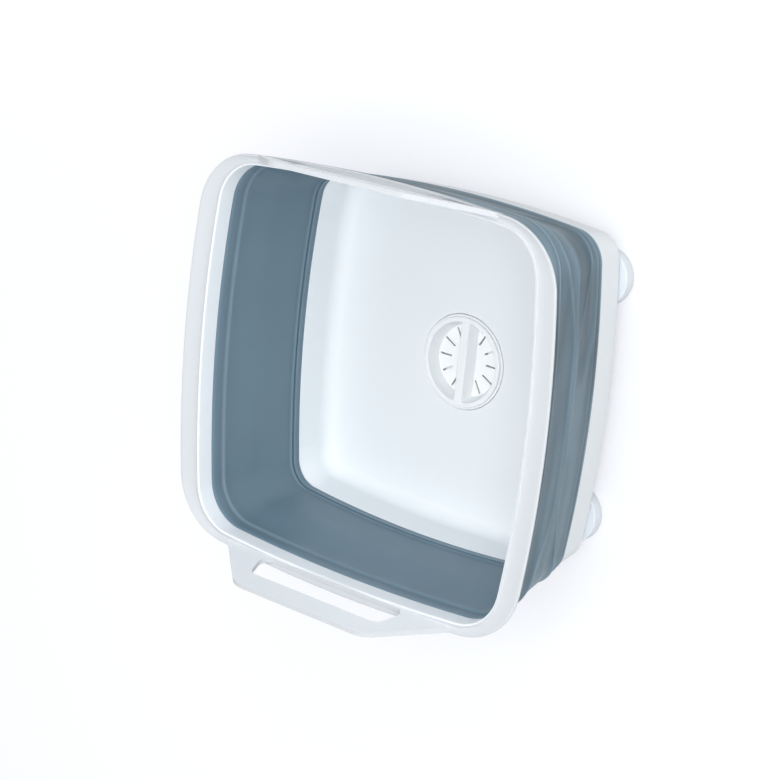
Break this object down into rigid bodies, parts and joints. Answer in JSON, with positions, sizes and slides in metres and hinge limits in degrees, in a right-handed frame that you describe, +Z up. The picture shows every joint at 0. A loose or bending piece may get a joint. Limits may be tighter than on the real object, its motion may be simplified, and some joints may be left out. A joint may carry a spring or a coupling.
{
  "type": "collapsible wash basin",
  "caption": "Square collapsible wash basin with a folding soft wall between a hard handled rim and a hard tray that has a twist-open drain.",
  "frame": {"origin": "on the floor, under the middle of the basin, with the basin open and standing on its feet", "axes": "+Z up out of the basin's mouth; the two handles stand on the -Y and +Y sides; +X is across the handles' long direction"},
  "size_m": [0.311, 0.2978, 0.1784],
  "materials": {
    "rim_plastic": "satin moulded polypropylene, pale grey",
    "wall_rubber": "satin thermoplastic elastomer, grey-blue",
    "base_plastic": "semi-gloss moulded polypropylene, bluish white",
    "drain_plastic": "semi-gloss moulded plastic, white",
    "seal_rubber": "matt silicone rubber, mid grey",
    "foot_rubber": "matt elastomer, pale grey",
    "rivet_plastic": "matt moulded plastic"
  },
  "bodies": {
    "base": {"base_tray": "base_plastic", "foot_front_left": "foot_rubber", "foot_front_right": "foot_rubber", "foot_back_left": "foot_rubber", "foot_back_right": "foot_rubber", "drain_housing": "drain_plastic", "housing_gasket": "seal_rubber", "seal_disc": "seal_rubber", "lock_nut": "drain_plastic", "soft_wall_fold": "wall_rubber"},
    "rim": {"rim_frame": "rim_plastic", "soft_wall_upper": "wall_rubber"},
    "dial": {"drain_dial": "drain_plastic", "dial_rivet": "rivet_plastic"}
  },
  "joints": [
    {"name": "wall_collapse", "type": "slide", "parent": "base", "child": "rim", "axis": [0, 0, -1], "range_m": [0, 0.075], "deforming": ["soft_wall_fold"]},
    {"name": "drain_twist", "type": "hinge", "parent": "base", "child": "dial", "pos_m": [0, 0, 0.0098], "axis": [0, 0, 1], "range_deg": [0, 15]}
  ]
}
